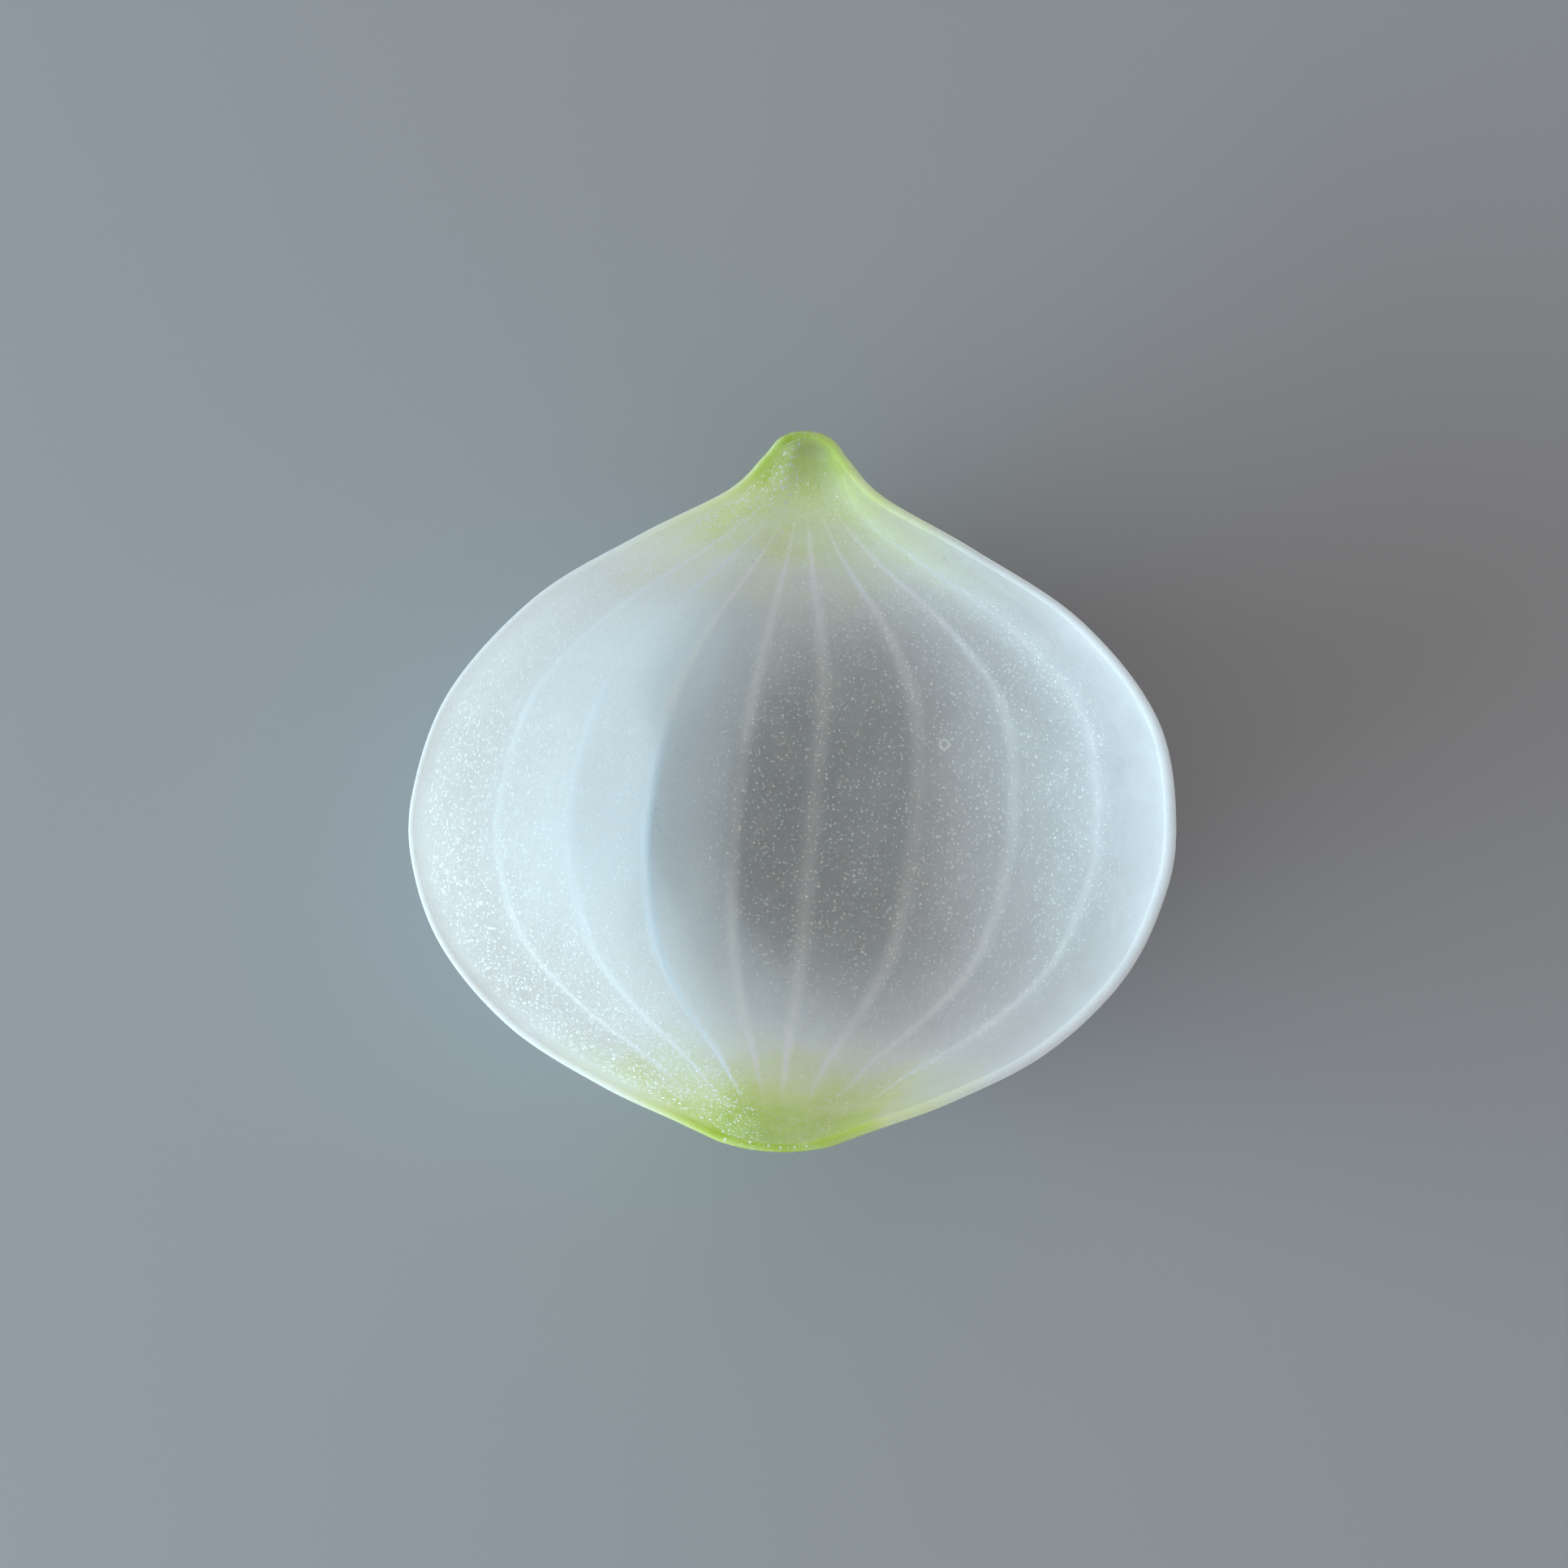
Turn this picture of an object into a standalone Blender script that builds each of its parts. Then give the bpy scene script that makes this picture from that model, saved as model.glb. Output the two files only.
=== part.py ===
"""One layer of an onion bulb, whole and hollow, lying open side up like a shallow bowl.

The layer is a single solid. Seen from above it has a round belly, a drawn-in neck and a
broad root end. Its wall is 1.6 mm thick on the left and 3.2 mm on the right, and gets thinner
towards the rim, which ends in a narrow rounded lip. Eight veins stand out of both faces and
run from the root end to the neck, with flats between them.

Metres, +Z up, neck towards +Y. The origin is the bottom centre of the layer's bounding
box, on the surface that it lies on.
"""

import math
from bisect import bisect
from functools import lru_cache

import bmesh
import bpy
from mathutils import Vector

MM = 0.001

# The outer face, seen from above: distance from the root end, and half the width there.
OUTLINE_MM = (
    (0.9, 6.2), (2.7, 10.5), (6.3, 19.1), (12.0, 29.0), (20.0, 36.7), (28.5, 40.6), (37.0, 41.5),
    (48.5, 38.5), (59.0, 29.7), (66.2, 18.3), (71.5, 8.5), (75.3, 4.7), (77.2, 3.2), (78.0, 1.9),
)
ROOT_BOW = 0.9 * MM        # how far the middle of the root end stands past its corners
NECK_BOW = 0.3 * MM        # the same at the neck's tip
BOW_POWER = 12             # higher keeps the bow closer to the ends
LENGTH = OUTLINE_MM[-1][0] * MM + NECK_BOW

# The belly leans to the right of the line from root to neck, most of all below the neck.
LEAN = 0.035               # as a share of the half width
LEAN_PLACE = 0.74 * LENGTH
LEAN_SPREAD = 0.18 * LENGTH

# The outer face, cut across the belly: share of the half width, and share of the depth there.
SECTION = (
    (-1.0, 0.0), (-0.91, 0.20), (-0.81, 0.376), (-0.61, 0.66), (-0.39, 0.895), (-0.142, 0.99),
    (0.078, 1.0), (0.371, 0.955), (0.646, 0.745), (0.871, 0.375), (0.94, 0.20), (1.0, 0.0),
)
SECTION_STEPS = 400        # straight steps that stand for its smooth curve

# Depth and wall.
DEPTH = 28.0 * MM          # from the plane of the skins' edge down to the outside of the belly
FLOOR_POWER = 1.6          # 1 makes the floor follow the outline, and more makes it flatter
WALL = 2.6 * MM            # wall of a wide stretch, thinner by itself where the neck is narrow
INNER_SHIFT = 0.8 * MM     # the inner face lies this far left, so the left wall is the thinner one
ROOT_WALL = 2.2 * MM       # wall along the axis at the root end
NECK_WALL = 1.8 * MM       # wall along the axis at the neck's tip
TAPER_LEFT = 0.65          # share of the wall that is lost at the rim, on the left
TAPER_RIGHT = 0.6
TAPER_ACROSS = (0.84, 1.0) # shares of the half width between which the wall gets thinner
TAPER_ENDS = 0.6           # share of the wall that is lost at the root end and at the neck's tip
TAPER_ROOT_LENGTH = 9.0 * MM
TAPER_NECK_LENGTH = 12.0 * MM
LIP_CROWN = 0.4            # height of the rounded lip, as a share of the wall under it
FLAT_SPOT_SINK = 0.6 * MM  # how much of the belly's height the flat spot takes off

# Veins: where each one crosses the belly. Its share of the half width is the sine of this angle.
VEIN_ANGLES = (-54.0, -37.5, -23.0, -8.2, 4.5, 21.8, 40.2, 60.6)
VEIN_SPREAD = 1.5          # degrees from a vein's crest to its foot
VEIN_RISE = 0.35 * MM      # crest over the outer face
VEIN_RISE_INSIDE = 0.3 * MM
VEIN_FADE_ROOT = (4.0 * MM, 11.0 * MM)  # no rise nearer the end than this, and the whole rise from here
VEIN_FADE_NECK = (6.0 * MM, 20.0 * MM)
FLAT = 1.0                 # 0 leaves the wall round between two veins, and 1 makes it flat
CORNER_MIDDLE = 0.03       # share of the half width over which two flats meet in a curve
CORNER_ENDS = 0.16         # the same away from the widest place
CORNER_GROWS = (4.0 * MM, 17.0 * MM)    # distances from the widest place between which it grows
GATHER_NECK = 0.42         # how much closer together the veins run at the neck
GATHER_ROOT = 0.30
GATHER_POWER = 4           # higher keeps the gathering away from the rim
GATHER_NECK_LENGTH = 0.37 * LENGTH
GATHER_ROOT_LENGTH = 0.27 * LENGTH

# How finely the layer is divided.
ROWS_PER_SPAN = 3          # rows between two points of the outline
COLUMN_GAP = 8.5           # widest gap in degrees between columns
LIP_CUTS = 3               # edges round the lip between its outer and inner skin
RIM_ANGLE = 90.0           # where the skins end, in degrees round the section
SHARP_ANGLE = 40.0         # edges that turn by more than this many degrees are shaded sharp

FLESH_COLOUR = (0.74, 0.81, 0.82, 1.0)
FLESH_ROUGHNESS = 0.42


def clear_scene():
    for obj in list(bpy.data.objects):
        bpy.data.objects.remove(obj, do_unlink=True)


def new_collection(name):
    collection = bpy.data.collections.new(name)
    bpy.context.scene.collection.children.link(collection)
    return collection


def ease(value, start, stop):
    share = min(max((value - start) / (stop - start), 0.0), 1.0)
    return share * share * (3.0 - 2.0 * share)


def smooth_curve(points, share):
    """A point of the smooth curve through all points, at a share of their number."""
    points = [2 * points[0] - points[1]] + points + [2 * points[-1] - points[-2]]
    spans = len(points) - 3
    place = min(share * spans, spans - 1e-9)
    first = int(place)
    t = place - first
    a, b, c, d = points[first:first + 4]
    bend = (2 * a - 5 * b + 4 * c - d) * t**2
    twist = (3 * b - a - 3 * c + d) * t**3
    return 0.5 * (2 * b + (c - a) * t + bend + twist)


def outline_at(share):
    """The outline: distance from the root end and half width."""
    return smooth_curve([Vector(p) * MM for p in OUTLINE_MM], share)


SECTION_POINTS = [Vector(p) for p in SECTION]
SECTION_CURVE = [smooth_curve(SECTION_POINTS, k / SECTION_STEPS) for k in range(SECTION_STEPS + 1)]
SECTION_ACROSS = [p.x for p in SECTION_CURVE]


@lru_cache(maxsize=None)
def hang(across):
    """How deep the belly hangs at a share of the half width, and how fast that changes."""
    right = min(max(bisect(SECTION_ACROSS, across), 1), SECTION_STEPS)
    a, b = SECTION_CURVE[right - 1], SECTION_CURVE[right]
    rate = (b.y - a.y) / (b.x - a.x)
    return a.y + rate * (across - a.x), rate


@lru_cache(maxsize=None)
def section(share, inner):
    """What a cross section of one skin needs: place, bow, half width, depth, lean and gather."""
    along, half = outline_at(share)
    ends = (OUTLINE_MM[0][1] * (1.0 - share) + OUTLINE_MM[-1][1] * share) * MM
    widest = max(out for _, out in OUTLINE_MM) * MM
    belly = math.sqrt(max(half * half - ends * ends, 0.0)) / widest
    depth = DEPTH * (1.0 - (1.0 - min(belly, 1.0)) ** FLOOR_POWER)
    bow = ROOT_BOW * (1.0 - share) ** BOW_POWER - NECK_BOW * share**BOW_POWER
    lean = LEAN * half * math.exp(-0.5 * ((along - LEAN_PLACE) / LEAN_SPREAD) ** 2)
    gather = 1.0
    gather -= GATHER_NECK * ease(along, LENGTH - GATHER_NECK_LENGTH, LENGTH)
    gather -= GATHER_ROOT * ease(GATHER_ROOT_LENGTH - along, 0.0, GATHER_ROOT_LENGTH)
    if inner:
        lean -= INNER_SHIFT * half / widest
        along = ROOT_WALL + along * (1.0 - (ROOT_WALL + NECK_WALL) / LENGTH)
        half = half * half / (half + WALL)
        depth = depth * depth / (depth + WALL)
    return along, bow, half, depth, lean, gather


@lru_cache(maxsize=None)
def vein_crest(angle):
    """1 on the crest of a vein and 0 from its foot outwards."""
    nearest = min(abs(angle - vein) for vein in VEIN_ANGLES)
    return max(0.0, 1.0 - nearest / VEIN_SPREAD)


@lru_cache(maxsize=None)
def gathered(angle, gather):
    """Where a column crosses a section, as a share of its half width."""
    across = math.sin(math.radians(angle))
    return across * (gather + (1.0 - gather) * across**GATHER_POWER)


@lru_cache(maxsize=None)
def veins_beside(angle):
    """The veins to the left and right of a column, or two of itself outside the outermost."""
    for left, right in zip(VEIN_ANGLES, VEIN_ANGLES[1:]):
        if left < angle < right:
            return left, right
    return angle, angle


@lru_cache(maxsize=None)
def corners(gather):
    """Where the veins cross a section, and how much the slope changes there."""
    places = [gathered(vein, gather) for vein in VEIN_ANGLES]
    downs = [hang(place)[0] for place in places]
    slopes = [(b - a) / (q - p) for a, b, p, q in zip(downs, downs[1:], places, places[1:])]
    slopes = [hang(places[0])[1]] + slopes + [hang(places[-1])[1]]
    return [(place, b - a) for place, a, b in zip(places, slopes, slopes[1:])]


def vein_fade(along):
    """Veins and flats fade out towards the root end and the neck."""
    return ease(along, *VEIN_FADE_ROOT) * ease(LENGTH - along, *VEIN_FADE_NECK)


def skin_point(angle, share, inner):
    """A point of the outer or inner skin, at an angle round the section and a share of the rows."""
    along, bow, half, depth, lean, gather = section(share, inner)
    across = gathered(angle, gather)
    down, rate = hang(across)
    fade = vein_fade(along)
    left, right = (gathered(vein, gather) for vein in veins_beside(angle))
    if left < right:
        at_left, at_right = hang(left)[0], hang(right)[0]
        straight = at_left + (at_right - at_left) * (across - left) / (right - left)
        down += (straight - down) * FLAT * fade
    widest = max(OUTLINE_MM, key=lambda p: p[1])[0] * MM
    reach = CORNER_MIDDLE + (CORNER_ENDS - CORNER_MIDDLE) * ease(abs(along - widest), *CORNER_GROWS)
    for place, turn in corners(gather):
        near = max(reach - abs(across - place), 0.0)
        down += turn * near * near / (4.0 * reach) * FLAT * fade
    round_bow = bow * (1.0 - across * across)
    point = Vector((lean + half * across, along - round_bow, -depth * down))
    outward = Vector((-rate * depth, 0.0, -half))
    if outward.length > 0.0:
        rise = -VEIN_RISE_INSIDE if inner else VEIN_RISE
        point += outward.normalized() * rise * vein_crest(angle) * fade
    return point


def wall_left(angle, along):
    """Share of the wall that is left where it gets thinner, at the sides and at both ends."""
    side = TAPER_LEFT if angle < 0.0 else TAPER_RIGHT
    side *= ease(abs(math.sin(math.radians(angle))), *TAPER_ACROSS)
    root = TAPER_ENDS * (1.0 - ease(along, ROOT_WALL, ROOT_WALL + TAPER_ROOT_LENGTH))
    neck = TAPER_ENDS * ease(along, LENGTH - NECK_WALL - TAPER_NECK_LENGTH, LENGTH - NECK_WALL)
    return 1.0 - max(side, root, neck)


def layer_point(angle, share, through):
    """A point of the whole wall: through is 0 on the outer skin, 1 on the inner one."""
    outer = skin_point(angle, share, False)
    inner = skin_point(angle, share, True)
    inner = outer.lerp(inner, wall_left(angle, inner.y))
    turn = math.pi * through
    crown = LIP_CROWN * (inner - outer).length * math.sin(turn)
    return outer.lerp(inner, 0.5 - 0.5 * math.cos(turn)) + Vector((0.0, 0.0, crown))


def column_angles():
    """Angles round the section: crest and feet of each vein, and even steps between them."""
    angles = []
    veins = [vein + side * VEIN_SPREAD for vein in VEIN_ANGLES for side in (-1, 0, 1)]
    stops = [-RIM_ANGLE] + veins + [RIM_ANGLE]
    for start, stop in zip(stops, stops[1:]):
        steps = max(1, math.ceil((stop - start) / COLUMN_GAP))
        angles += [start + (stop - start) * k / steps for k in range(steps)]
    return angles + [RIM_ANGLE]


def make_material():
    material = bpy.data.materials.new("onion_flesh")
    material.use_nodes = True
    shader = material.node_tree.nodes["Principled BSDF"]
    shader.inputs["Base Color"].default_value = FLESH_COLOUR
    shader.inputs["Roughness"].default_value = FLESH_ROUGHNESS
    shader.inputs["Metallic"].default_value = 0.0
    return material


def make_layer(collection):
    """A flat slab, one column for each angle, bent into the layer."""
    angles = column_angles()
    columns = len(angles) - 1
    rows = ROWS_PER_SPAN * (len(OUTLINE_MM) - 1)
    bm = bmesh.new()
    bmesh.ops.create_grid(bm, x_segments=columns, y_segments=rows, size=0.5)
    bmesh.ops.solidify(bm, geom=bm.faces[:], thickness=1.0)
    level = min(v.co.z for v in bm.verts)
    for v in bm.verts:
        v.co.z -= level
    edge_walls = [e for e in bm.edges if abs(e.verts[0].co.z - e.verts[1].co.z) > 0.5]
    bmesh.ops.subdivide_edges(bm, edges=edge_walls, cuts=LIP_CUTS, use_grid_fill=True)
    for v in bm.verts:
        angle = angles[round((v.co.x + 0.5) * columns)]
        v.co = layer_point(angle, round((v.co.y + 0.5) * rows) / rows, v.co.z)
    bmesh.ops.recalc_face_normals(bm, faces=bm.faces[:])

    low = Vector([min(v.co[i] for v in bm.verts) for i in range(3)])
    high = Vector([max(v.co[i] for v in bm.verts) for i in range(3)])
    middle = (low + high) / 2
    bmesh.ops.translate(bm, verts=bm.verts, vec=(-middle.x, -middle.y, DEPTH - FLAT_SPOT_SINK))
    mesh = bpy.data.meshes.new("onion_layer")
    bm.to_mesh(mesh)
    bm.free()
    layer = bpy.data.objects.new("onion_layer", mesh)
    collection.objects.link(layer)
    mesh.materials.append(make_material())
    return layer


def cut_flat_spot(layer, collection):
    """Everything below the surface that the layer lies on is cut away, which leaves a flat spot."""
    side = 1.2 * LENGTH
    bpy.ops.mesh.primitive_cube_add(size=side, location=(0.0, 0.0, -side / 2))
    cutter = bpy.context.object
    cutter.name = "flat_spot_cutter"
    for other in list(cutter.users_collection):
        other.objects.unlink(cutter)
    collection.objects.link(cutter)
    cutter.hide_render = True
    cutter.display_type = "WIRE"
    cut = layer.modifiers.new("flat_spot", "BOOLEAN")
    cut.operation = "DIFFERENCE"
    cut.object = cutter


clear_scene()
onion = make_layer(new_collection("onion_layer"))
cut_flat_spot(onion, new_collection("cutters"))
onion.data.shade_smooth()
onion.data.set_sharp_from_angle(angle=math.radians(SHARP_ANGLE))
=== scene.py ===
import math
from bisect import bisect
from functools import lru_cache

import bmesh
import bpy
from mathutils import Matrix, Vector, noise


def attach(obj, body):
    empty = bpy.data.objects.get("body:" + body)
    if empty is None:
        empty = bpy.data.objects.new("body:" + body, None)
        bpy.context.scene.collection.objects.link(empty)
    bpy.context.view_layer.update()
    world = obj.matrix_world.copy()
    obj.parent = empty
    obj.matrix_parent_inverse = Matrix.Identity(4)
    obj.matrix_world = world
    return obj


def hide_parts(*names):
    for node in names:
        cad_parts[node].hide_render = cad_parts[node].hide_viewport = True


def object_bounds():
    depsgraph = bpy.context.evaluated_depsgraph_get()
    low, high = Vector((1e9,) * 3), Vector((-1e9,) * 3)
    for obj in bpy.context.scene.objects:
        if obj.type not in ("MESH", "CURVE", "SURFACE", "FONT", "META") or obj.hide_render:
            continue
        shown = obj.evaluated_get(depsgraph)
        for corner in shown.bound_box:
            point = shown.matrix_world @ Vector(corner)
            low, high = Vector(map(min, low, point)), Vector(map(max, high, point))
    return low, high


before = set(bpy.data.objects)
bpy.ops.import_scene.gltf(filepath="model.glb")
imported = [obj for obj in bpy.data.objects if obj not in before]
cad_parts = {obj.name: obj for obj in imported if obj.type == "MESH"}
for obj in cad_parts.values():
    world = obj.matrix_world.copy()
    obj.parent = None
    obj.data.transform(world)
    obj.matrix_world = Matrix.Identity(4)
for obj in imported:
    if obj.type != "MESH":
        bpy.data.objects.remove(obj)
cad_low, cad_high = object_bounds()


# The layer. One fleshy layer of an onion bulb, grown in one piece as a bowl with a drawn-in
# neck and a broad root end. It follows the solid's own formulas on a much finer net, with
# rounded veins and flats between them, and it takes the solid's place.
MM = 0.001
OUTLINE_MM = (
    (0.9, 6.2), (2.7, 10.5), (6.3, 19.1), (12.0, 29.0), (20.0, 36.7), (28.5, 40.6), (37.0, 41.5),
    (48.5, 38.5), (59.0, 29.7), (66.2, 18.3), (71.5, 8.5), (75.3, 4.7), (77.2, 3.2), (78.0, 1.9),
)
ROOT_BOW = 0.9 * MM        # how far the middle of the root end stands past its corners
NECK_BOW = 0.3 * MM
BOW_POWER = 12
LENGTH = OUTLINE_MM[-1][0] * MM + NECK_BOW
LEAN = 0.035               # the belly leans to the right, as a share of the half width
LEAN_PLACE = 0.74 * LENGTH
LEAN_SPREAD = 0.18 * LENGTH
SECTION = (                # the belly cut across: share of the half width, share of the depth
    (-1.0, 0.0), (-0.91, 0.20), (-0.81, 0.376), (-0.61, 0.66), (-0.39, 0.895), (-0.142, 0.99),
    (0.078, 1.0), (0.371, 0.955), (0.646, 0.745), (0.871, 0.375), (0.94, 0.20), (1.0, 0.0),
)
DEPTH = 28.0 * MM
FLAT_SPOT_SINK = 0.6 * MM
FLOOR_POWER = 1.6
WALL = 2.6 * MM
INNER_SHIFT = 0.8 * MM     # the inner face lies this far left, so the left wall is the thinner one
ROOT_WALL = 2.2 * MM
NECK_WALL = 1.8 * MM
LIP_CROWN = 0.33
LIP_BIAS = 0.22            # below 1 the lip is highest near its outer edge
TAPER_LEFT = 0.65          # how much of the wall is lost towards the rim, on the left
TAPER_RIGHT = 0.6
TAPER_ACROSS = (0.84, 1.0)
TAPER_ENDS = 0.6           # and towards both ends
TAPER_ROOT_LENGTH = 9.0 * MM
TAPER_NECK_LENGTH = 12.0 * MM
# The milkiness of the veins and of the flesh below is set wall by wall and towards the ends to make
# each part lighter or darker under the window light: painted light and shade, carried in how clear
# the flesh is, over its own cloudiness.
VEINS = (   # angle and spread in degrees, share of the full rise, milkiness rootward, then neckward
    (-54.0, 0.7, 0.12, 0.2, -0.14), (-37.5, 0.7, 0.12, 0.1, -0.14), (-23.0, 0.7, 0.2, -0.36, 0.36),
    (-8.2, 0.75, 0.8, 0.25, 0.25), (4.5, 1.0, 1.0, 0.23, 0.23), (21.8, 1.1, 1.0, 0.2, 0.2),
    (40.2, 1.0, 1.0, 0.16, 0.16), (60.6, 0.8, 0.4, 0.05, 0.05),
)
VEIN_MILK_TURNS = (40.0 * MM, 50.0 * MM)    # from the root end, where one turns into the other
VEIN_RISE = 0.3 * MM
VEIN_RISE_INSIDE = 0.1 * MM
MILK_AND_SHADE_BY_ANGLE = (              # of the flesh between the veins, by angle: 0 is clear, 1 is the densest
    (-90.0, 0.8), (-72.0, 0.64), (-62.0, 0.49), (-54.0, 0.33), (-37.5, 0.2), (-23.0, 0.17),
    (-8.2, 0.15), (4.5, 0.13), (21.8, 0.12), (38.0, 0.13), (48.0, -0.02), (58.0, 0.0),
    (66.0, 0.04), (75.0, 0.15), (90.0, 0.33),
)
MILK_AND_SHADE_NECKWARD = (          # what is added to that between the widest place and the neck
    (-90.0, -0.28), (-50.0, -0.25), (-25.0, -0.16), (-9.0, 0.0), (9.0, 0.0), (26.0, -0.09),
    (45.0, -0.07), (58.0, 0.03), (90.0, 0.03),
)
MILK_AND_SHADE_ROOTWARD = (          # and between the widest place and the root end
    (-90.0, -0.01), (-60.0, 0.03), (-45.0, 0.1), (-25.0, 0.1), (-9.0, 0.0), (9.0, 0.0),
    (26.0, -0.09), (90.0, -0.07),
)
MILK_AND_SHADE_ENDS = (              # the milkiness itself at both ends
    (-85.0, 0.3), (-65.0, 0.2), (-20.0, 0.17), (20.0, 0.12), (50.0, 0.06),
)
MILK_AWAY = (5.0 * MM, 18.0 * MM)   # distances from the widest place between which these grow
SPECK_MILK = 0.5           # specks are milkier than the flesh, and clearer inside the left wall, painted light: there they let more of the window light through
SPECK_MILK_LEFT = -1.0
LEFT_WALL_DEGREES = (12.0, 24.0)
GLINT_CROWD_LEFT_DEGREES = (30.0, 62.0)   # blisters crowd in the left wall and at both ends, where the window lights the layer: painted glints
ROOT_END_SPAN = (4.0 * MM, 17.0 * MM)
NECK_END_SPAN = (56.0 * MM, 68.0 * MM)
GLINT_CROWD_NECK_DEGREES = (0.0, 30.0)    # to the left of the middle
SMOOTH_RIM_LEFT = (73.0, 80.0)      # degrees: no specks from there to the rim
SMOOTH_RIM_RIGHT = (60.0, 70.0)
VEIN_FADE_ROOT = (4.0 * MM, 11.0 * MM)
VEIN_FADE_NECK = (6.0 * MM, 20.0 * MM)
CORNER_MIDDLE = 0.03       # share of the half width over which two flat strips meet in a curve
CORNER_ENDS = 0.16         # the same away from the widest place
CORNER_GROWS = (4.0 * MM, 17.0 * MM)
GATHER_NECK = 0.42
GATHER_ROOT = 0.30
GATHER_POWER = 4
GATHER_NECK_LENGTH = 0.37 * LENGTH
GATHER_ROOT_LENGTH = 0.27 * LENGTH
SWELL = 0.12 * MM          # soft unevenness of the grown wall
SWELL_SIZE = 9.0 * MM
ROWS = 226
COLUMN_GAP = 1.35          # degrees, away from the veins
VEIN_STEPS = (-2.4, -1.5, -0.75, 0.0, 0.75, 1.5, 2.4)
LIP_CUTS = 5
RIM_ANGLE = 90.0


def ease(value, start, stop):
    share = min(max((value - start) / (stop - start), 0.0), 1.0)
    return share * share * (3.0 - 2.0 * share)


def smooth_curve(points, share):
    """A point of the smooth curve through all points, at a share of their number."""
    points = [2 * points[0] - points[1]] + points + [2 * points[-1] - points[-2]]
    spans = len(points) - 3
    place = min(share * spans, spans - 1e-9)
    first = int(place)
    t = place - first
    a, b, c, d = points[first:first + 4]
    bend = (2 * a - 5 * b + 4 * c - d) * t**2
    twist = (3 * b - a - 3 * c + d) * t**3
    return 0.5 * (2 * b + (c - a) * t + bend + twist)


def outline_at(share):
    """The outline: distance from the root end and half width."""
    return smooth_curve([Vector(p) * MM for p in OUTLINE_MM], share)


SECTION_STEPS = 400
SECTION_POINTS = [Vector(p) for p in SECTION]
SECTION_CURVE = [smooth_curve(SECTION_POINTS, k / SECTION_STEPS) for k in range(SECTION_STEPS + 1)]
SECTION_ACROSS = [p.x for p in SECTION_CURVE]


@lru_cache(maxsize=None)
def hang(across):
    """How deep the belly hangs at a share of the half width, and how fast that changes."""
    right = min(max(bisect(SECTION_ACROSS, across), 1), SECTION_STEPS)
    a, b = SECTION_CURVE[right - 1], SECTION_CURVE[right]
    rate = (b.y - a.y) / (b.x - a.x)
    return a.y + rate * (across - a.x), rate


@lru_cache(maxsize=None)
def section(share, inner):
    """What a cross section of one skin needs: place, bow, half width, depth, lean and gather."""
    along, half = outline_at(share)
    ends = (OUTLINE_MM[0][1] * (1.0 - share) + OUTLINE_MM[-1][1] * share) * MM
    widest = max(out for _, out in OUTLINE_MM) * MM
    belly = math.sqrt(max(half * half - ends * ends, 0.0)) / widest
    depth = DEPTH * (1.0 - (1.0 - min(belly, 1.0)) ** FLOOR_POWER)
    bow = ROOT_BOW * (1.0 - share) ** BOW_POWER - NECK_BOW * share**BOW_POWER
    lean = LEAN * half * math.exp(-0.5 * ((along - LEAN_PLACE) / LEAN_SPREAD) ** 2)
    gather = 1.0
    gather -= GATHER_NECK * ease(along, LENGTH - GATHER_NECK_LENGTH, LENGTH)
    gather -= GATHER_ROOT * ease(GATHER_ROOT_LENGTH - along, 0.0, GATHER_ROOT_LENGTH)
    if inner:
        along = ROOT_WALL + along * (1.0 - (ROOT_WALL + NECK_WALL) / LENGTH)
        lean -= INNER_SHIFT * half / widest
        half = half * half / (half + WALL)
        depth = depth * depth / (depth + WALL)
    return along, bow, half, depth, lean, gather


@lru_cache(maxsize=None)
def vein_crest(angle):
    """1 on the crest of a vein, falling off to 0 at its sides."""
    return max(math.exp(-0.5 * ((angle - vein) / spread) ** 2) for vein, spread, *_ in VEINS)


def between(points, angle):
    """The value at an angle, in a table of angles and values."""
    for (left, at_left), (right, at_right) in zip(points, points[1:]):
        if angle <= right:
            return at_left + (at_right - at_left) * max(angle - left, 0.0) / (right - left)
    return points[-1][1]


@lru_cache(maxsize=None)
def vein_rise(angle):
    """Share of the full rise, fading from one vein's to the next one's."""
    return between([(vein, rise) for vein, _, rise, *_ in VEINS], angle)


def milkiness(angle, along, vein, at_end):
    """Of the flesh and the veins in it, at an angle and a distance from the root end, painted light
    and shade included.
    """
    widest = max(OUTLINE_MM, key=lambda p: p[1])[0] * MM
    flesh = between(MILK_AND_SHADE_BY_ANGLE, angle)
    away = between(MILK_AND_SHADE_NECKWARD if along > widest else MILK_AND_SHADE_ROOTWARD, angle)
    flesh += away * ease(abs(along - widest), *MILK_AWAY) * (1.0 - at_end)
    flesh += (between(MILK_AND_SHADE_ENDS, angle) - flesh) * at_end
    *_, rootward, neckward = min(VEINS, key=lambda other: abs(angle - other[0]))
    in_vein = rootward + (neckward - rootward) * ease(along, *VEIN_MILK_TURNS)
    return flesh * (1.0 - vein) + in_vein * vein


@lru_cache(maxsize=None)
def gathered(angle, gather):
    """Where a column crosses a section, as a share of its half width."""
    across = math.sin(math.radians(angle))
    return across * (gather + (1.0 - gather) * across**GATHER_POWER)


@lru_cache(maxsize=None)
def veins_beside(angle):
    """The veins to the left and right of a column, or two of itself outside the outermost."""
    lines = [vein for vein, *_ in VEINS]
    for left, right in zip(lines, lines[1:]):
        if left < angle < right:
            return left, right
    return angle, angle


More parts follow.
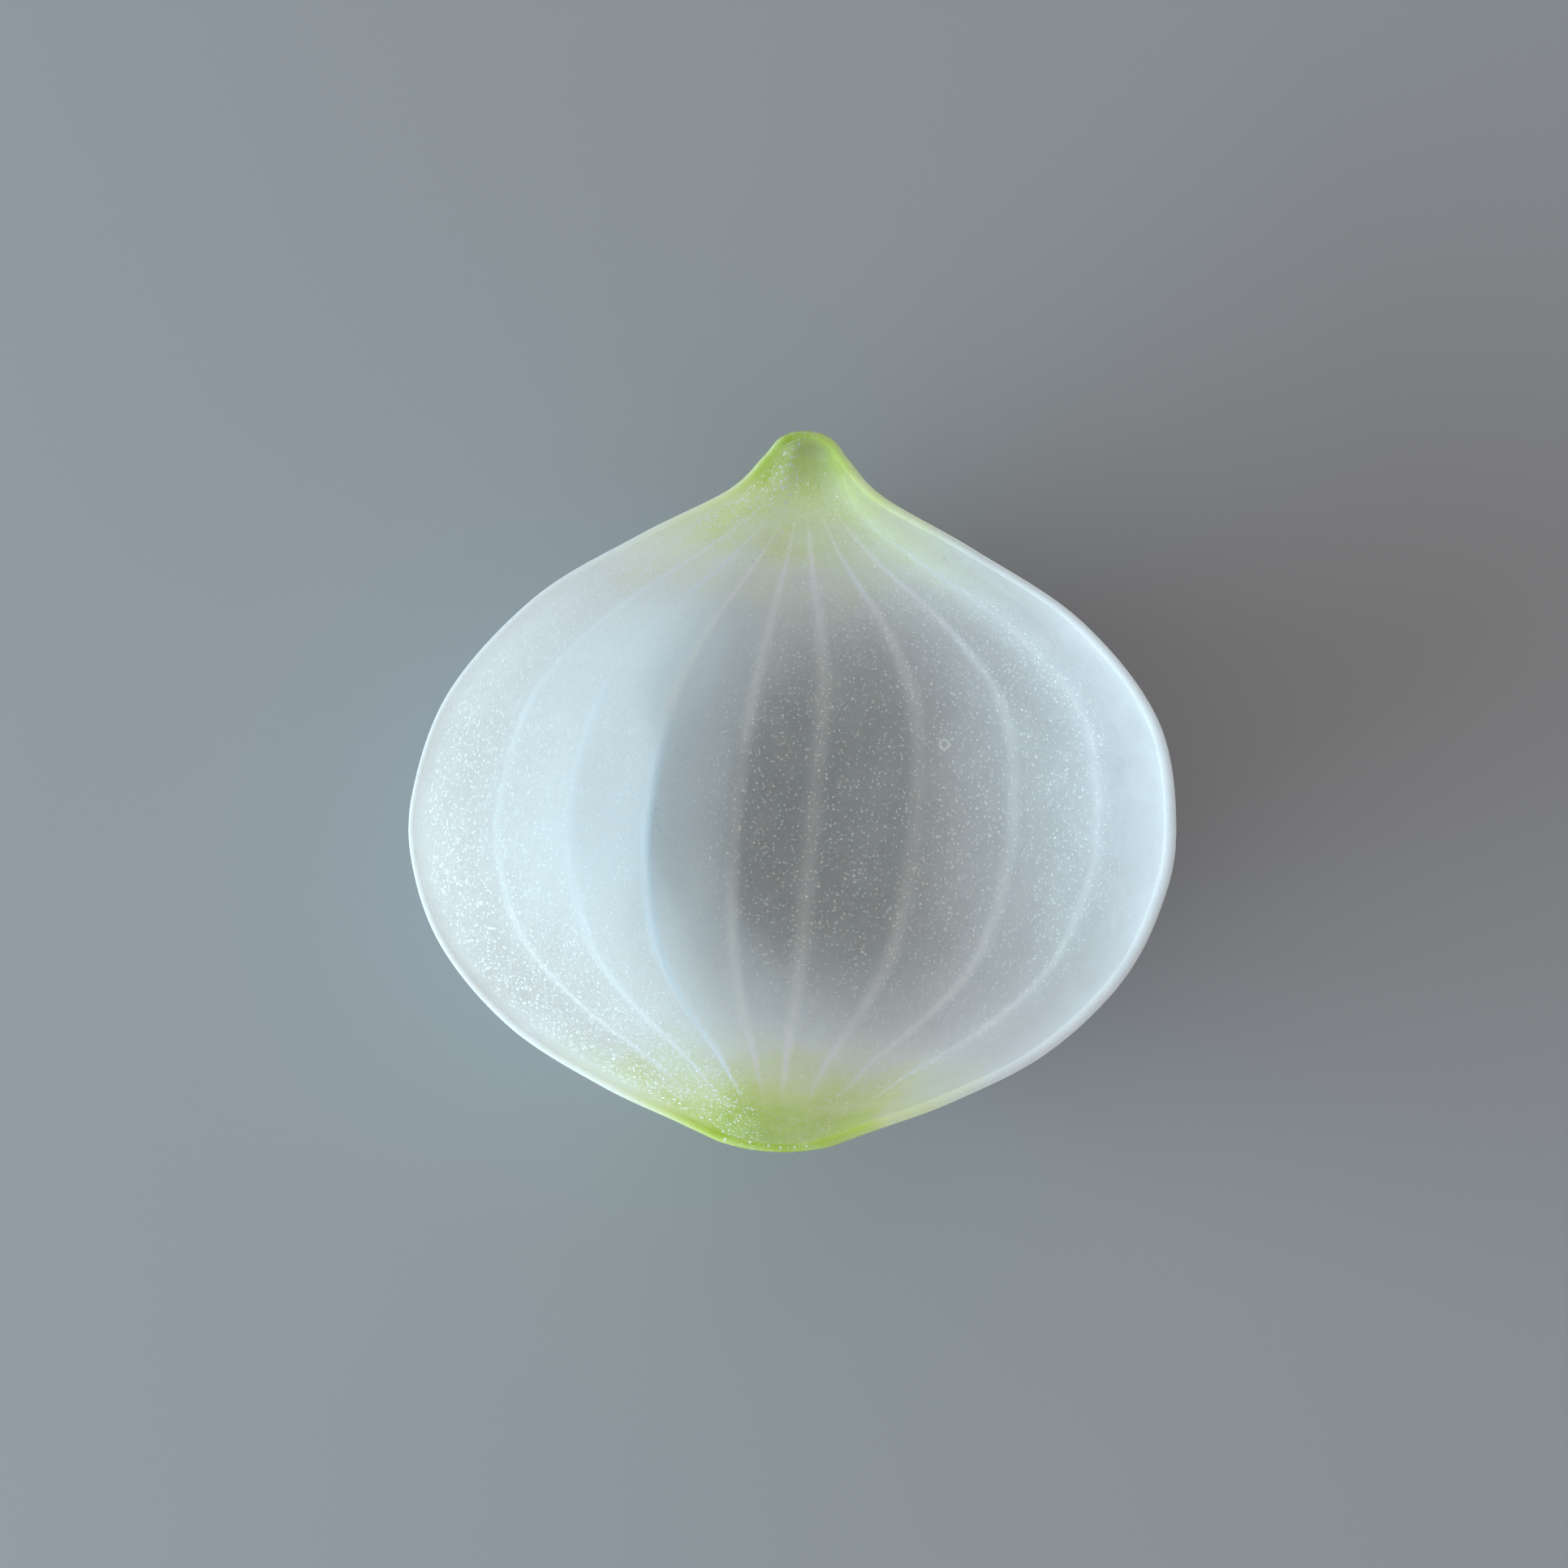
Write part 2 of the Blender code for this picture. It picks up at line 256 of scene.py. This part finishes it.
@lru_cache(maxsize=None)
def corners(gather):
    """Where the veins cross a section, and how much the slope changes there."""
    places = [gathered(vein, gather) for vein, *_ in VEINS]
    downs = [hang(place)[0] for place in places]
    slopes = [(b - a) / (q - p) for a, b, p, q in zip(downs, downs[1:], places, places[1:])]
    slopes = [hang(places[0])[1]] + slopes + [hang(places[-1])[1]]
    return [(place, b - a) for place, a, b in zip(places, slopes, slopes[1:])]


def vein_fade(along):
    return ease(along, *VEIN_FADE_ROOT) * ease(LENGTH - along, *VEIN_FADE_NECK)


def skin_point(angle, share, inner):
    """A point of the outer or inner skin, at an angle round the section and a share of the rows."""
    along, bow, half, depth, lean, gather = section(share, inner)
    across = gathered(angle, gather)
    down, rate = hang(across)
    left, right = (gathered(vein, gather) for vein in veins_beside(angle))
    if left < right:
        at_left, at_right = hang(left)[0], hang(right)[0]
        straight = at_left + (at_right - at_left) * (across - left) / (right - left)
        down += (straight - down) * vein_fade(along)
    widest = max(OUTLINE_MM, key=lambda p: p[1])[0] * MM
    reach = CORNER_MIDDLE + (CORNER_ENDS - CORNER_MIDDLE) * ease(abs(along - widest), *CORNER_GROWS)
    for place, turn in corners(gather):
        near = max(reach - abs(across - place), 0.0)
        down += turn * near * near / (4.0 * reach) * vein_fade(along)
    round_bow = bow * (1.0 - across * across)
    point = Vector((lean + half * across, along - round_bow, -depth * down))
    outward = Vector((-rate * depth, 0.0, -half))
    if outward.length > 0.0:
        rise = -VEIN_RISE_INSIDE if inner else VEIN_RISE
        rise *= vein_crest(angle) * vein_rise(angle) * vein_fade(along)
        rise += SWELL * noise.noise(point / SWELL_SIZE) * vein_fade(along) * down
        point += outward.normalized() * rise
    return point


def wall_left(angle, along):
    """Share of the wall that is left where it gets thinner, at the sides and at both ends."""
    side = TAPER_LEFT if angle < 0.0 else TAPER_RIGHT
    side *= ease(abs(math.sin(math.radians(angle))), *TAPER_ACROSS)
    root = TAPER_ENDS * (1.0 - ease(along, ROOT_WALL, ROOT_WALL + TAPER_ROOT_LENGTH))
    neck = TAPER_ENDS * ease(along, LENGTH - NECK_WALL - TAPER_NECK_LENGTH, LENGTH - NECK_WALL)
    return 1.0 - max(side, root, neck)


def layer_point(angle, share, through):
    """A point of the whole wall: through is 0 on the outer skin, 1 on the inner one."""
    outer = skin_point(angle, share, False)
    inner = skin_point(angle, share, True)
    inner = outer.lerp(inner, wall_left(angle, inner.y))
    turn = math.pi * through
    crown = LIP_CROWN * (inner - outer).length * math.sin(math.pi * through**LIP_BIAS)
    return outer.lerp(inner, 0.5 - 0.5 * math.cos(turn)) + Vector((0.0, 0.0, crown))


def column_angles():
    """Angles round the section: close together over each vein, and even steps between them."""
    veins = [vein + step * spread for vein, spread, *_ in VEINS for step in VEIN_STEPS]
    stops = [-RIM_ANGLE] + veins + [RIM_ANGLE]
    angles = []
    for start, stop in zip(stops, stops[1:]):
        steps = max(1, math.ceil((stop - start) / COLUMN_GAP))
        angles += [start + (stop - start) * k / steps for k in range(steps)]
    return angles + [RIM_ANGLE]


def row_shares():
    """Shares of the outline that cut the line along the floor into steps of one length."""
    samples = 20 * ROWS
    floor = [skin_point(0.0, k / samples, False) for k in range(samples + 1)]
    lengths = [0.0]
    for a, b in zip(floor, floor[1:]):
        lengths.append(lengths[-1] + (b - a).length)
    shares = []
    k = 0
    for row in range(ROWS + 1):
        while k < samples and lengths[k] < lengths[-1] * row / ROWS:
            k += 1
        shares.append(k / samples)
    return shares


def make_layer():
    """A flat slab, one column for each angle and one row for each share, bent into the layer."""
    angles = column_angles()
    shares = row_shares()
    columns = len(angles) - 1
    bm = bmesh.new()
    bmesh.ops.create_grid(bm, x_segments=columns, y_segments=ROWS, size=0.5)
    bmesh.ops.solidify(bm, geom=bm.faces[:], thickness=1.0)
    level = min(v.co.z for v in bm.verts)
    for v in bm.verts:
        v.co.z -= level
    edge_walls = [e for e in bm.edges if abs(e.verts[0].co.z - e.verts[1].co.z) > 0.5]
    bmesh.ops.subdivide_edges(bm, edges=edge_walls, cuts=LIP_CUTS, use_grid_fill=True)
    vein_layer = bm.verts.layers.float.new("vein")
    milk_layer = bm.verts.layers.float.new("milkiness")
    speck_layer = bm.verts.layers.float.new("speck_milk")
    blister_glint_layer = bm.verts.layers.float.new("blister_glint_crowd")
    speckled_layer = bm.verts.layers.float.new("speckled")
    grain_layer = bm.verts.layers.float_vector.new("grain")
    for v in bm.verts:
        angle = angles[round((v.co.x + 0.5) * columns)]
        share = shares[round((v.co.y + 0.5) * ROWS)]
        through = v.co.z
        v.co = layer_point(angle, share, through)
        vein = vein_crest(angle) * vein_fade(v.co.y)
        v[vein_layer] = vein
        at_end = max(1.0 - ease(v.co.y, *ROOT_END_SPAN), ease(v.co.y, *NECK_END_SPAN))
        v[milk_layer] = milkiness(angle, v.co.y, vein, at_end)
        # clearer specks on the inner face of the left wall: painted light, to let them shine with
        # the window behind that wall
        left_wall = ease(-angle, *LEFT_WALL_DEGREES) * through
        v[speck_layer] = SPECK_MILK + (SPECK_MILK_LEFT - SPECK_MILK) * left_wall
        # where the blisters crowd: on the sides the window lights, painted white there as painted
        # glints
        root_end = 1.0 - ease(v.co.y, *ROOT_END_SPAN)
        neck_left = ease(v.co.y, *NECK_END_SPAN) * ease(-angle, *GLINT_CROWD_NECK_DEGREES)
        v[blister_glint_layer] = max(ease(-angle, *GLINT_CROWD_LEFT_DEGREES), root_end, neck_left)
        v[speckled_layer] = 1.0 - ease(-angle, *SMOOTH_RIM_LEFT) - ease(angle, *SMOOTH_RIM_RIGHT)
        v[grain_layer] = (angle, v.co.y / MM, v.co.z / MM)
    bmesh.ops.recalc_face_normals(bm, faces=bm.faces[:])

    low = Vector([min(v.co[i] for v in bm.verts) for i in range(3)])
    high = Vector([max(v.co[i] for v in bm.verts) for i in range(3)])
    move = (cad_low + cad_high - low - high) / 2
    move.z = DEPTH - FLAT_SPOT_SINK
    for v in bm.verts:
        place = v.co + move
        v.co = [min(max(place[i], cad_low[i]), cad_high[i]) for i in range(3)]
    mesh = bpy.data.meshes.new("fleshy_layer")
    bm.to_mesh(mesh)
    bm.free()
    mesh.shade_smooth()
    return mesh


def to_linear(code):
    """An sRGB hex colour as the linear colour that a shader takes."""
    parts = [int(code[k:k + 2], 16) / 255 for k in (1, 3, 5)]
    return [p / 12.92 if p <= 0.04045 else ((p + 0.055) / 1.055) ** 2.4 for p in parts] + [1.0]


def node_maker(tree):
    """Gives the function that adds one node to a tree, with its settings and what feeds it."""
    def add(kind, inputs=None, **settings):
        node = tree.nodes.new("ShaderNode" + kind)
        for name, value in settings.items():
            setattr(node, name, value)
        for socket, value in (inputs or {}).items():
            if isinstance(value, bpy.types.NodeSocket):
                tree.links.new(value, node.inputs[socket])
            else:
                node.inputs[socket].default_value = value
        return node
    return add


# The flesh is bulb tissue full of sap: milky, let through by light, with a satin skin. How milky
# it is changes wall by wall and towards the ends as painted light and shade too. The veins are
# whiter, the neck and the root end are green, tiny air-filled cells make pale specks all over,
# painted pure white also as painted glints, and small blisters stand on the skin as bumps,
# painted white and crowded where the window lights the layer as painted glints.
FLESH = "#e8ecee"
VEIN_WHITE = "#ffffff"
# pure white specks: pale air-filled cells, and painted glints for the sparkle of the wet cells
SPECK_WHITE = "#ffffff"
GREENS = (                  # share of the green at which each colour is reached
    (0.3, "#dbe6c2"), (0.55, "#c3d58a"), (0.75, "#9fba4a"), (1.0, "#7d9e2a"),
)
SPECKS = (                  # size of their cells and radius in mm, share of the cells with one
    (0.42, 0.13, 0.75),
    (0.85, 0.18, 0.5),
)
DOT_FAINTEST = 0.4          # the faintest speck or blister against the strongest
GRAIN_PALE = 0.3            # the finest grain between the specks against a speck
GRAIN_SHOWS = (0.48, 0.74)  # where in its noise the grain starts to show and is full
GREEN_HIDES = 0.7           # how much less of the veins, specks and grain shows in the green ends
GREEN_TINTS_BLISTERS = 0.3
BLISTER_GAP_MM = 0.65
BLISTER_RADIUS_MM = 0.2
BLISTER_CROWD = (0.02, 0.8)    # share of cells with a blister, where the painted glints crowd least and most
BLISTER_HEIGHT = 0.05 * MM
RING_PLACE_MM = (16.6, 6.0)     # one larger bubble, its bright outline painted pale as a painted highlight
RING_RADIUS_MM = 0.5
RING_WIDTH_MM = 0.28
RING_PALE = 0.6
MOTTLE_MM = 3.0             # soft cloudiness of the flesh
MOTTLE_MILK = 0.1
GRAIN_MM = 0.25             # finer on a real layer, drawn as coarse as it needs to show
GRAIN_HEIGHT = 0.018 * MM
SPECK_HEIGHT = 2.0 * GRAIN_HEIGHT
FIBRE_HEIGHT = 0.35 * GRAIN_HEIGHT      # fine ribs that run with the veins
FIBRE_DEGREES = 0.35
FIBRE_LENGTH_MM = 9.0
GREEN_NECK = {"centre_mm": (-0.4, 41.5, 0.0), "reach_mm": (32.0, 24.0)}
GREEN_ROOT = {"centre_mm": (1.6, -39.7, 0.0), "reach_mm": (34.0, 14.0)}
GREEN_PATCH_MM = 7.0
GREEN_UNEVEN = 0.35
GREEN_FULL = 0.2            # share of the reach within which the green is full
LIGHT_WANDERS = 40.0 * MM   # how far light goes in clear flesh before it is turned aside
RED_WANDERS_MORE = (1.09, 1.0, 0.92)    # the same for red, green and blue light
MILKIEST = 0.02             # the same in the milkiest flesh, as a share of that
GREEN_MILKINESS = 0.25      # 0 is clear flesh and 1 the milkiest
SATIN = (0.38, 0.52)        # lowest and highest roughness
SAP_IOR = 1.38


def green_share(add, place, ripple, centre_mm, reach_mm):
    """1 at the middle of a green end, falling to 0 at its reach, boxy and with an uneven edge."""
    from_centre = add("VectorMath", {0: place, 1: centre_mm}, operation="SUBTRACT").outputs[0]
    stretch = (1 / reach_mm[0], 1 / reach_mm[1], 0.0)
    scaled = add("VectorMath", {0: from_centre, 1: stretch}, operation="MULTIPLY").outputs[0]
    squared = add("VectorMath", {0: scaled, 1: scaled}, operation="MULTIPLY").outputs[0]
    far = add("VectorMath", {0: squared}, operation="LENGTH").outputs["Value"]
    far = add("Math", {0: far}, operation="SQRT").outputs[0]
    uneven = add("Math", {0: ripple, 1: GREEN_UNEVEN, 2: far}, operation="MULTIPLY_ADD").outputs[0]
    none = 1.0 + 0.5 * GREEN_UNEVEN
    return add("MapRange", {"Value": uneven, "From Min": none, "From Max": GREEN_FULL}).outputs[0]


def dots(add, place, gap_mm, radius_mm, share):
    """Round dots in a share of the cells, soft at the edge: 1 in the middle and 0 outside."""
    cells = add("TexVoronoi", {"Vector": place, "Scale": 1 / gap_mm})
    edge = radius_mm / gap_mm
    span = {"Value": cells.outputs["Distance"], "From Min": edge, "From Max": 0.5 * edge}
    dot = add("MapRange", span, interpolation_type="SMOOTHSTEP").outputs[0]
    lots = add("SeparateColor", {0: cells.outputs["Color"]})
    shown = add("Math", {0: lots.outputs[0], 1: share}, operation="LESS_THAN").outputs[0]
    strength = add("MapRange", {"Value": lots.outputs[1], "To Min": DOT_FAINTEST}).outputs[0]
    shown = add("Math", {0: shown, 1: strength}, operation="MULTIPLY").outputs[0]
    return add("Math", {0: dot, 1: shown}, operation="MULTIPLY").outputs[0]


def flesh_material():
    material = bpy.data.materials.new("bulb_flesh")
    material.use_nodes = True
    tree = material.node_tree
    add = node_maker(tree)
    shader = tree.nodes["Principled BSDF"]
    coords = add("TexCoord").outputs["Object"]
    place = add("VectorMath", {0: coords, "Scale": 1 / MM}, operation="SCALE").outputs[0]
    vein = add("Attribute", attribute_name="vein").outputs["Fac"]
    grain = add("Attribute", attribute_name="grain").outputs["Vector"]
    blister_glint_crowd = add("Attribute", attribute_name="blister_glint_crowd").outputs["Fac"]

    small, large = (dots(add, place, *speck) for speck in SPECKS)
    speck = add("Math", {0: small, 1: large}, operation="MAXIMUM").outputs[0]
    least, most = BLISTER_CROWD
    crowd = add("Math", {0: blister_glint_crowd, 1: most - least, 2: least}, operation="MULTIPLY_ADD").outputs[0]
    blister = dots(add, place, BLISTER_GAP_MM, BLISTER_RADIUS_MM, crowd)

    ripple = add("TexNoise", {"Vector": place, "Scale": 1 / GREEN_PATCH_MM, "Detail": 2.0})
    ripple = ripple.outputs["Fac"]
    neck = green_share(add, place, ripple, **GREEN_NECK)
    root = green_share(add, place, ripple, **GREEN_ROOT)
    green = add("Math", {0: neck, 1: root}, operation="MAXIMUM").outputs[0]
    tint = add("ValToRGB", {0: green})
    ramp = tint.color_ramp
    ramp.elements.remove(ramp.elements[1])
    ramp.elements[0].color = to_linear(FLESH)
    for stop, code in GREENS:
        ramp.elements.new(stop).color = to_linear(code)
    shows = add("Math", {0: green, 1: -GREEN_HIDES, 2: 1.0}, operation="MULTIPLY_ADD").outputs[0]
    white = add("Math", {0: vein, 1: shows}, operation="MULTIPLY").outputs[0]
    mix = {0: white, 6: tint.outputs[0], 7: to_linear(VEIN_WHITE)}
    veined = add("Mix", mix, data_type="RGBA").outputs[2]
    fine = add("TexNoise", {"Vector": place, "Scale": 1 / GRAIN_MM, "Detail": 3.0}).outputs["Fac"]
    span = {"Value": fine, "From Min": GRAIN_SHOWS[0], "From Max": GRAIN_SHOWS[1]}
    grainy = add("MapRange", {**span, "To Max": GRAIN_PALE}).outputs[0]
    pale = add("Math", {0: speck, 1: grainy}, operation="MAXIMUM").outputs[0]
    pale = add("Math", {0: pale, 1: shows}, operation="MULTIPLY").outputs[0]
    pale = add("Math", {0: pale, 1: blister}, operation="MAXIMUM").outputs[0]
    # a pale ring round one larger bubble: painted highlight
    flat_place = add("VectorMath", {0: place, 1: (1.0, 1.0, 0.0)}, operation="MULTIPLY").outputs[0]
    from_ring = add("VectorMath", {0: flat_place, 1: (*RING_PLACE_MM, 0.0)}, operation="DISTANCE")
    band = {0: from_ring.outputs["Value"], 1: RING_RADIUS_MM, 2: RING_WIDTH_MM / 2}
    ring = add("Math", band, operation="COMPARE").outputs[0]
    ring = add("Math", {0: ring, 1: RING_PALE}, operation="MULTIPLY").outputs[0]
    pale = add("Math", {0: pale, 1: ring}, operation="MAXIMUM").outputs[0]
    speckled = add("Attribute", attribute_name="speckled").outputs["Fac"]
    pale = add("Math", {0: pale, 1: speckled}, operation="MULTIPLY").outputs[0]
    tinted = add("Math", {0: green, 1: -GREEN_TINTS_BLISTERS, 2: 1.0}, operation="MULTIPLY_ADD")
    whitened = add("Math", {0: pale, 1: tinted.outputs[0]}, operation="MULTIPLY").outputs[0]
    # specks, grain, blisters and the ring painted towards white: pale cells and marks, partly
    # painted glints and highlights
    mix = {0: whitened, 6: veined, 7: to_linear(SPECK_WHITE)}
    flecked = add("Mix", mix, data_type="RGBA").outputs[2]
    tree.links.new(flecked, shader.inputs["Base Color"])

    stretch = (1 / FIBRE_DEGREES, 1 / FIBRE_LENGTH_MM, 1 / FIBRE_LENGTH_MM)
    along_fibres = add("VectorMath", {0: grain, 1: stretch}, operation="MULTIPLY").outputs[0]
    fibre = add("TexNoise", {"Vector": along_fibres, "Scale": 1.0, "Detail": 2.0}).outputs["Fac"]
    satin = add("MapRange", {"Value": fine, "To Min": SATIN[0], "To Max": SATIN[1]}).outputs[0]
    tree.links.new(satin, shader.inputs["Roughness"])
    relief = fine
    for shape, rise in ((fibre, FIBRE_HEIGHT), (speck, SPECK_HEIGHT), (blister, BLISTER_HEIGHT)):
        terms = {0: shape, 1: rise / GRAIN_HEIGHT, 2: relief}
        relief = add("Math", terms, operation="MULTIPLY_ADD").outputs[0]
    bump = add("Bump", {"Height": relief, "Distance": GRAIN_HEIGHT})
    tree.links.new(bump.outputs[0], shader.inputs["Normal"])

    shader.inputs["IOR"].default_value = SAP_IOR
    shader.inputs["Subsurface Weight"].default_value = 1.0
    shader.inputs["Subsurface Radius"].default_value = RED_WANDERS_MORE
    milk = add("Attribute", attribute_name="milkiness").outputs["Fac"]
    milk = add("Math", {0: green, 1: GREEN_MILKINESS, 2: milk}, operation="MULTIPLY_ADD").outputs[0]
    speck_milk = add("Attribute", attribute_name="speck_milk").outputs["Fac"]
    milk = add("Math", {0: pale, 1: speck_milk, 2: milk}, operation="MULTIPLY_ADD").outputs[0]
    cloud = {"Vector": place, "Scale": 1 / MOTTLE_MM, "Detail": 4.0, "Roughness": 0.7}
    mottle = add("TexNoise", cloud).outputs["Fac"]
    mottle = add("Math", {0: mottle, 1: 0.5}, operation="SUBTRACT").outputs[0]
    mottled = {0: mottle, 1: 2 * MOTTLE_MILK, 2: milk}
    milk = add("Math", mottled, operation="MULTIPLY_ADD").outputs[0]
    clearness = add("Math", {0: MILKIEST, 1: milk}, operation="POWER").outputs[0]
    wander = add("Math", {0: clearness, 1: LIGHT_WANDERS}, operation="MULTIPLY").outputs[0]
    tree.links.new(wander, shader.inputs["Subsurface Scale"])
    return material


layer = bpy.data.objects.new("fleshy_layer", make_layer())
bpy.context.scene.collection.objects.link(layer)
layer.data.materials.append(flesh_material())
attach(layer, "root")
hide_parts("onion_layer")


# The table, the window light and the camera, which aren't part of the object. The window is
# wide and soft, on the left and a little towards the root end, as high as the shadow says.
TABLE_GREY = "#9c9da0"
TABLE_ROUGHNESS = 0.85
TABLE_SIZE = 6.0
TABLE_GAP = 0.02 * MM
WINDOW_HEIGHT_DEGREES = 15.0
WINDOW_TURN_DEGREES = 17.0      # from straight left towards the root end
WINDOW_AWAY = 0.9
WINDOW_SIZE = (1.0, 0.35)
WINDOW_WATTS = 14.4
WINDOW_COLOUR = (0.6, 0.875, 1.0)
ROOM_COLOUR = (1.04, 0.985, 0.97, 1.0)
ROOM_STRENGTH = 0.5
CAMERA_TILT_DEGREES = 2.57      # how far the photo is turned against the layer's own line
CAMERA_LENS_MM = 150.0
SENSOR_MM = 36.0
PHOTO_PX = 1932
PHOTO_PX_PER_MM = 11.365
LAYER_MIDDLE_PX = (978.5, 975.5)

table_material = bpy.data.materials.new("matt_table")
table_material.use_nodes = True
table_shader = table_material.node_tree.nodes["Principled BSDF"]
table_shader.inputs["Base Color"].default_value = to_linear(TABLE_GREY)
table_shader.inputs["Roughness"].default_value = TABLE_ROUGHNESS
bpy.ops.mesh.primitive_plane_add(size=TABLE_SIZE, location=(0.0, 0.0, -TABLE_GAP))
table = bpy.context.object
table.name = "table"
table.data.materials.append(table_material)

window_light = bpy.data.lights.new("window", "AREA")
window_light.shape = "RECTANGLE"
window_light.size, window_light.size_y = WINDOW_SIZE
window_light.energy = WINDOW_WATTS
window_light.color = WINDOW_COLOUR
window = bpy.data.objects.new("window", window_light)
bpy.context.scene.collection.objects.link(window)
height = math.radians(WINDOW_HEIGHT_DEGREES)
turn = math.radians(WINDOW_TURN_DEGREES)
window.location = WINDOW_AWAY * Vector((
    -math.cos(height) * math.cos(turn), -math.cos(height) * math.sin(turn), math.sin(height)))
window.rotation_euler = (-window.location).to_track_quat("-Z", "Y").to_euler()

room = bpy.data.worlds.new("room")
room.use_nodes = True
room.node_tree.nodes["Background"].inputs["Color"].default_value = ROOM_COLOUR
room.node_tree.nodes["Background"].inputs["Strength"].default_value = ROOM_STRENGTH
bpy.context.scene.world = room
bpy.context.scene.view_settings.view_transform = "Standard"

camera_data = bpy.data.cameras.new("camera")
camera_data.lens = CAMERA_LENS_MM
camera_data.sensor_width = SENSOR_MM
camera = bpy.data.objects.new("camera", camera_data)
bpy.context.scene.collection.objects.link(camera)
frame_width = PHOTO_PX / PHOTO_PX_PER_MM * MM
away = frame_width * CAMERA_LENS_MM / SENSOR_MM
right = (PHOTO_PX / 2 - LAYER_MIDDLE_PX[0]) / PHOTO_PX_PER_MM * MM
up = (LAYER_MIDDLE_PX[1] - PHOTO_PX / 2) / PHOTO_PX_PER_MM * MM
tilt = math.radians(CAMERA_TILT_DEGREES)
camera.location = (
    right * math.cos(tilt) - up * math.sin(tilt),
    right * math.sin(tilt) + up * math.cos(tilt),
    cad_high.z + away)
camera.rotation_euler = (0.0, 0.0, tilt)
bpy.context.scene.camera = camera
